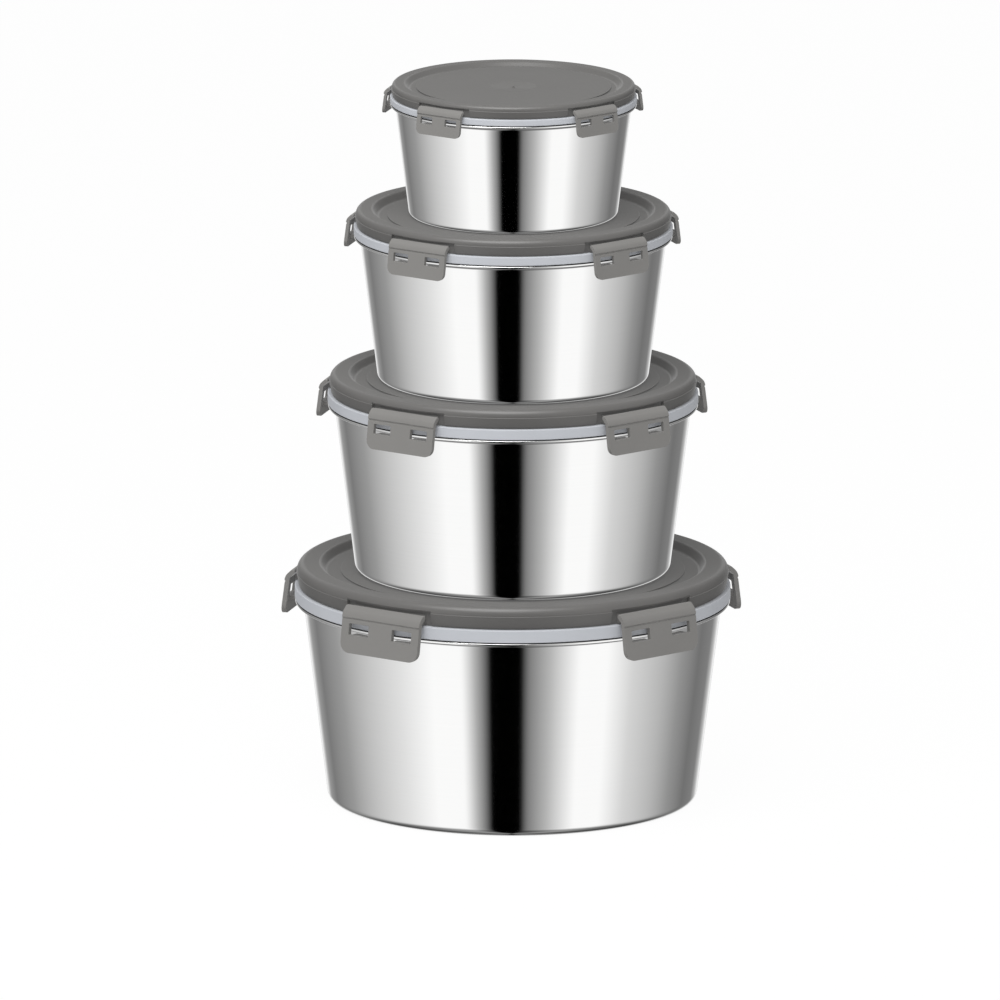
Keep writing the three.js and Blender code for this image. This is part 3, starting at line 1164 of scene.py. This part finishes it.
    def dress(self, finishes: Finishes) -> bpy.types.Object:
        """Builds the lid, gives it its finish and fastens it to its body.

        Args:
            finishes: The set's materials.

        Returns:
            The finished piece.
        """
        piece = self.build()
        piece.data.materials.append(finishes.lid)
        even_out(piece)
        settle(piece, f"{self.sizes.name}_lid", f"{self.sizes.name}_lid")
        return piece


@dataclass
class Latches:
    """The five swinging latches of a lid: a bent strip each, with two windows and two hooks."""

    sizes: ContainerSizes
    base: float
    end_share: float = 0.98
    knee_round: float = 0.8
    roll_round: float = 4.5
    roll_proud: float = 0.25
    roll_drop: float = 1.9
    roll_crease: float = 0.3
    top_round: float = 0.6
    window_round: float = 0.5
    window_ease: float = 0.3
    edge_share: float = 0.22

    def side(self) -> list[Corner]:
        """The corners of a flap's side, drawn from its hinge.

        Returns:
            The round end about the hinge, the roll at the knee and the crease under it, a bottom
            below the flap's own, and the knee inside.
        """
        s = self.sizes
        sine, cosine = math.sin(KNUCKLE_SLOPE), math.cos(KNUCKLE_SLOPE)
        radius = s.barrel_radius
        inset = radius + sine * (s.flap_reach(0) - s.flap_across)
        inside = -inset / (cosine - sine * math.tan(FLAP_FLARE))
        below = s.flap_bottom - s.flap_thickness
        foot = s.knee_rise - self.roll_drop * s.barrel_radius
        groove = foot - self.roll_proud - self.roll_crease
        rest = groove - self.roll_crease * 2
        return [
            Corner(-radius * (sine + cosine), radius * (sine - cosine), self.end_share * radius),
            Corner(radius * (sine - cosine), radius * (sine + cosine), self.end_share * radius),
            Corner(s.knee_reach + self.roll_proud, s.knee_rise, self.roll_round * s.barrel_radius),
            Corner(s.flap_reach(foot) + self.roll_proud, foot, self.roll_proud),
            Corner(s.flap_reach(groove) - self.roll_crease, groove, self.roll_proud),
            Corner(s.flap_reach(rest), rest, self.knee_round),
            Corner(s.flap_reach(below), below),
            Corner(s.flap_reach(below) - s.flap_across, below),
            Corner(s.flap_reach(inside) - s.flap_across, inside, self.knee_round),
        ]

    def slab(self, corners: Sequence[Corner]) -> BMesh:
        """Draws an outline seen from the front right through the flap and returns the mesh."""
        s = self.sizes
        return drawn_out(corners, 2 * (s.flap_reach(s.flap_bottom) + s.flap_thickness))

    def plate(self) -> BMesh:
        """Makes the bent flap with its rounded corners.

        Returns:
            A new closed mesh about the hinge.
        """
        s = self.sizes
        half = s.latch_width / 2
        corners = [
            Corner(-half, s.barrel_radius + MERGE, self.top_round),
            Corner(half, s.barrel_radius + MERGE, self.top_round),
            Corner(half, s.flap_bottom, s.flap_corner),
            Corner(-half, s.flap_bottom, s.flap_corner),
        ]
        strip = drawn_out(self.side(), s.latch_width + s.flap_thickness)
        moved(strip, Matrix.Rotation(-math.pi / 2, 4, "Z"))
        return joined(strip, self.slab(corners), Join.CROSS)

    def window(self, middle: float) -> BMesh:
        """Makes the opening of one window, right through the flap.

        Args:
            middle: The place of its middle along the width.

        Returns:
            A new closed mesh about the hinge.
        """
        s = self.sizes
        sill = s.hook_top + SILL - s.hinge_height
        head = s.hook_top + s.window_height + 2 * self.window_ease + SILL - s.hinge_height
        half = s.window_width / 2 + self.window_ease
        left, right = middle - half, middle + half
        ends = ((left, sill), (right, sill), (right, head), (left, head))
        return self.slab([Corner(x, z, self.window_round) for x, z in ends])

    def hook(self, middle: float) -> BMesh:
        """Makes the wedge under one window that grips the rim.

        Args:
            middle: The place of the window's middle along the width.

        Returns:
            A new closed mesh about the hinge.
        """
        s = self.sizes
        flap = s.hinge_radius + s.flap_reach(s.hook_top - s.hinge_height) - s.flap_across / 2
        root = math.hypot(middle, flap)
        tip = s.rim_radius - HOOK_GRIP
        corners = [
            Corner(tip, s.hook_top - HOOK_TIP, HOOK_ROUND),
            Corner(root, s.hook_top - HOOK_ROOT),
            Corner(root, s.hook_top),
            Corner(tip, s.hook_top, HOOK_ROUND),
        ]
        bm = drawn_out(corners, s.window_width)
        moved(bm, Matrix.Rotation(math.atan2(middle, flap) - math.pi / 2, 4, "Z"))
        return moved(bm, Matrix.Translation((0, s.hinge_radius, -s.hinge_height)))

    def shape(self) -> BMesh:
        """Joins the flap and the hooks of one latch.

        Returns:
            A new closed mesh about the hinge.
        """
        s = self.sizes
        bm = self.plate()
        for middle in s.window_middles:
            bm = joined(bm, self.window(middle), Join.CUT)
        bm = soften(bm, self.edge_share * s.flap_thickness)
        for middle in s.window_middles:
            bm = joined(bm, self.hook(middle), Join.ADD)
        return tidy(bm)

    def dress(self, finishes: Finishes) -> list[bpy.types.Object]:
        """Builds the five latches, gives them their finish and fastens each to its body.

        Args:
            finishes: The set's materials.

        Returns:
            The finished pieces.
        """
        s = self.sizes
        mould = self.shape()
        hinge = Matrix.Translation((0, -s.hinge_radius, self.base + s.hinge_height))
        pieces = []
        for number, turn in enumerate(LATCH_TURNS, start=1):
            place = Matrix.Rotation(turn, 4, "Z") @ hinge
            node = f"{s.name}_latch_{number}"
            piece = finished(moved(mould.copy(), place), f"{node}_flap")
            piece.data.materials.append(finishes.latch)
            even_out(piece)
            settle(piece, node, node)
            pieces.append(piece)
        mould.free()
        return pieces


def even_out(piece: bpy.types.Object) -> None:
    """Lets the flat faces of a softened piece keep their own shading up to its rounded edges."""
    modifier = piece.modifiers.new("even", "WEIGHTED_NORMAL")
    modifier.keep_sharp = True


def settle(piece: bpy.types.Object, body: str, node: str) -> None:
    """Fastens a piece to its body in place of a node of the part.

    The polished walls mirror the studio alone, so no piece shows in a reflection.

    Args:
        piece: The finished piece.
        body: The body that it rides on.
        node: The node that it stands for.
    """
    piece.visible_glossy = False
    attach(piece, body)
    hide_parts(node)
    LOG.info("%s: %d faces on %s", piece.name, len(piece.data.polygons), body)


@dataclass(frozen=True)
class Card:
    """A stop of the studio's wrap: its turn to the right of the camera, and how light it looks."""

    turn: float
    tone: float


def linear(tone: float) -> float:
    """Works out the light that a tone stands for.

    Args:
        tone: The tone, from 0 for black to 1 for white.

    Returns:
        The light level, from 0 to 1.
    """
    if tone <= TOE_END:
        return tone / TOE_SLOPE
    return ((tone + CURVE_OFFSET) / (1 + CURVE_OFFSET)) ** CURVE_POWER


@dataclass
class Studio:
    """The plain studio: pale floor, white backdrop, a soft key light and cards all round.

    Angles are in degrees. The distance, the floor's half, and the key's place and size are in
    metres, and the frame, the aim and the floor's drop in millimetres.
    """

    azimuth: float = -2.55
    elevation: float = 12.3
    roll: float = 0.1
    distance: float = 14.0
    frame_width: float = 481.5
    aim_height: float = 146.1
    aim_left: float = 6.15
    floor_half: float = 8.0
    floor_drop: float = 0.3
    ambient: float = 0.48
    ceiling: float = 0.6
    ceiling_rise: tuple[float, float] = (15.0, 40.0)
    ground: float = 0.3
    ground_rise: tuple[float, float] = (-34.0, -52.0)
    key_power: float = 22.0
    key_size: float = 1.2
    key_place: tuple[float, float, float] = (-0.25, -0.65, 1.55)
    sensor: float = 36.0
    far_end: float = 100.0

    CARDS = (
        Card(-180, 0.3),
        Card(-172, 1.0),
        Card(-158, 0.6),
        Card(-145, 0.48),
        Card(-120, 0.6),
        Card(-95, 0.77),
        Card(-70, 0.89),
        Card(-48, 1.0),
        Card(-30, 1.0),
        Card(-22, 0.7),
        Card(-13, 0.0),
        Card(5.3, 0.0),
        Card(10, 0.5),
        Card(22, 0.72),
        Card(40, 1.0),
        Card(57, 1.0),
        Card(75, 0.84),
        Card(98, 0.72),
        Card(115, 0.58),
        Card(135, 0.45),
        Card(152, 0.5),
        Card(160, 0.7),
        Card(172, 1.0),
        Card(180, 0.3),
    )

    def floor(self) -> None:
        """Lays the floor just under the base. The polished steel doesn't mirror it."""
        bm = bmesh.new()
        level = Matrix.Translation((0, 0, -self.floor_drop * MM))
        bmesh.ops.create_grid(bm, x_segments=2, y_segments=2, size=self.floor_half, matrix=level)
        mesh = bpy.data.meshes.new("floor")
        bm.to_mesh(mesh)
        bm.free()
        floor = bpy.data.objects.new("floor", mesh)
        bpy.context.scene.collection.objects.link(floor)
        mesh.materials.append(PaleFloor().material())
        floor.visible_glossy = False

    def wrap(self, graph: Graph) -> bpy.types.NodeSocket:
        """Stands the cards all round, under a pale ceiling and over a ground that dims them.

        Args:
            graph: The world's nodes.

        Returns:
            The socket of the colour that polished steel mirrors.
        """
        towards = graph.add("SeparateXYZ")
        graph.link(graph.add("TexCoord").outputs["Generated"], towards.inputs[0])
        ahead = graph.math("MULTIPLY", towards.outputs["Y"], -1.0)
        turn = graph.math("ARCTAN2", towards.outputs["X"], ahead)
        turn = graph.math("SUBTRACT", turn, math.radians(self.azimuth))
        turn = graph.math("WRAP", turn, math.pi, -math.pi)
        around = graph.math("MULTIPLY_ADD", turn, 1 / (2 * math.pi), 0.5)
        cards = graph.add("ValToRGB")
        graph.link(around, cards.inputs["Fac"])
        stops = cards.color_ramp.elements
        while len(stops) > 1:
            stops.remove(stops[-1])
        for index, card in enumerate(self.CARDS):
            place = card.turn / 360 + 0.5
            stop = stops[0] if index == 0 else stops.new(place)
            stop.position = place
            stop.color = (*(linear(card.tone),) * 3, 1.0)
        above, beneath = (
            [math.sin(math.radians(rise)) for rise in rises]
            for rises in (self.ceiling_rise, self.ground_rise)
        )
        height = towards.outputs["Z"]
        roofed = graph.fade(height, above, cards.outputs["Color"], self.ceiling)
        return graph.fade(height, beneath, roofed, 0.0, most=1.0 - self.ground)

    def world(self) -> None:
        """Sets up the backdrop, the soft light all round and the cards that steel mirrors."""
        world = bpy.data.worlds.new("studio")
        bpy.context.scene.world = world
        graph = Graph(world)
        world.cycles.sampling_method = "NONE"
        soft, cards, white = (graph.add("Background") for _ in range(3))
        soft.inputs["Strength"].default_value = self.ambient
        soft.inputs["Color"].default_value = WHITE
        white.inputs["Color"].default_value = WHITE
        graph.link(self.wrap(graph), cards.inputs["Color"])
        path = graph.add("LightPath").outputs
        mirrored = graph.choose(path["Is Glossy Ray"], soft, cards)
        seen = graph.math("MAXIMUM", path["Is Camera Ray"], path["Is Transmission Ray"])
        whole = graph.choose(seen, mirrored, white)
        graph.link(whole.outputs[0], graph.add("OutputWorld").inputs["Surface"])

    def key(self) -> None:
        """Hangs the soft key light above, in front and a little to the left."""
        light = bpy.data.lights.new("key", "AREA")
        light.shape = "DISK"
        light.size = self.key_size
        light.energy = self.key_power
        lamp = bpy.data.objects.new("key", light)
        bpy.context.scene.collection.objects.link(lamp)
        lamp.location = self.key_place
        aim = Vector((0.0, 0.0, self.aim_height * MM)) - lamp.location
        lamp.rotation_euler = aim.to_track_quat("-Z", "Y").to_euler()

    def camera(self) -> None:
        """Stands the camera where the photograph was taken from."""
        lens = bpy.data.cameras.new("camera")
        lens.sensor_width = self.sensor
        lens.lens = lens.sensor_width * self.distance / (self.frame_width * MM)
        lens.clip_end = self.far_end
        camera = bpy.data.objects.new("camera", lens)
        scene = bpy.context.scene
        scene.collection.objects.link(camera)
        scene.camera = camera
        side, up = math.radians(self.azimuth), math.radians(self.elevation)
        back = Vector((math.sin(side) * math.cos(up), -math.cos(side) * math.cos(up), math.sin(up)))
        right = Vector((math.cos(side), math.sin(side), 0.0))
        aim = Vector((0.0, 0.0, self.aim_height * MM)) - right * self.aim_left * MM
        camera.location = aim + back * self.distance
        turn = (-back).to_track_quat("-Z", "Y").to_matrix().to_4x4()
        turn = turn @ Matrix.Rotation(math.radians(self.roll), 4, "Z")
        camera.rotation_euler = turn.to_euler()

    def set_up(self) -> None:
        """Builds the whole studio."""
        scene = bpy.context.scene
        scene.view_settings.view_transform = "Standard"
        self.camera()
        self.world()
        self.floor()
        self.key()
        LOG.info("studio: floor, backdrop, key light and camera")


STACK = (
    ContainerSizes(
        name="large",
        mouth_radius=100.7,
        height=98.5,
        foot_fillet=4.2,
        rim_overhang=4.1,
        rim_thickness=1.8,
        band_height=6,
        skirt_inset=1.9,
        shoulder_rise=10.6,
        shoulder_fillet=4.1,
        shoulder_width=10.3,
        gutter_width=9.7,
        panel_rise=7.4,
        hinge_rise=4.1,
        hinge_reach=0.8,
        latch_width=45.5,
        flap_thickness=2.2,
        knee_reach=3.6,
        flap_corner=5,
        tab_drop=8.4,
        window_width=11,
        window_height=5.2,
        window_margin=4.6,
    ),
    ContainerSizes(
        name="medium",
        mouth_radius=85.7,
        height=81.6,
        foot_fillet=3.6,
        rim_overhang=3.3,
        rim_thickness=1.6,
        band_height=5,
        skirt_inset=1.6,
        shoulder_rise=9,
        shoulder_fillet=3.5,
        shoulder_width=8.7,
        gutter_width=8.3,
        panel_rise=6.4,
        hinge_rise=3.45,
        hinge_reach=0.7,
        latch_width=38.6,
        flap_thickness=1.9,
        knee_reach=3.1,
        flap_corner=4.2,
        tab_drop=7.1,
        window_width=9.3,
        window_height=4.4,
        window_margin=3.9,
    ),
    ContainerSizes(
        name="small",
        mouth_radius=73.6,
        height=70.2,
        foot_fillet=3.1,
        rim_overhang=2.9,
        rim_thickness=1.5,
        band_height=4.2,
        skirt_inset=1.3,
        shoulder_rise=7.8,
        shoulder_fillet=3,
        shoulder_width=7.5,
        gutter_width=7.1,
        panel_rise=5,
        hinge_rise=3.05,
        hinge_reach=0.6,
        latch_width=33.2,
        flap_thickness=1.6,
        knee_reach=2.6,
        flap_corner=3.6,
        tab_drop=6.1,
        window_width=8,
        window_height=3.8,
        window_margin=3.4,
    ),
    ContainerSizes(
        name="mini",
        mouth_radius=56.7,
        height=54.4,
        foot_fillet=2.4,
        rim_overhang=2.4,
        rim_thickness=1.3,
        band_height=3.1,
        skirt_inset=1,
        shoulder_rise=6,
        shoulder_fillet=2.3,
        shoulder_width=5.8,
        gutter_width=5.5,
        panel_rise=4.4,
        hinge_rise=2.3,
        hinge_reach=0.45,
        latch_width=25.6,
        flap_thickness=1.3,
        knee_reach=2.2,
        flap_corner=2.8,
        tab_drop=4.7,
        window_width=6.2,
        window_height=3,
        window_margin=2.6,
    ),
)


def main() -> None:
    """Builds the stack from the largest container up, then the studio."""
    logging.basicConfig(level=logging.INFO, format="%(name)s: %(message)s")
    finishes = Finishes(
        steel=PolishedSteel().material(),
        # Dark matt steel that paints the shadow in the gap under the seal band.
        rim_painted_shade=PaintedShadeSteel().material(),
        lid=MouldedPlastic("lid_plastic", (0.117, 0.114, 0.11), (0.34, 0.44)).material(),
        latch=MouldedPlastic("latch_plastic", (0.2, 0.195, 0.187), (0.27, 0.36)).material(),
        seal=SealSilicone().material(),
    )
    base = 0.0
    for sizes in STACK:
        Bowl(sizes, base).dress(finishes)
        Seal(sizes, base).dress(finishes)
        Lid(sizes, base).dress(finishes)
        Latches(sizes, base).dress(finishes)
        base += sizes.panel_top + SEAT_GAP
    Studio().set_up()


if __name__ == "__main__":
    main()
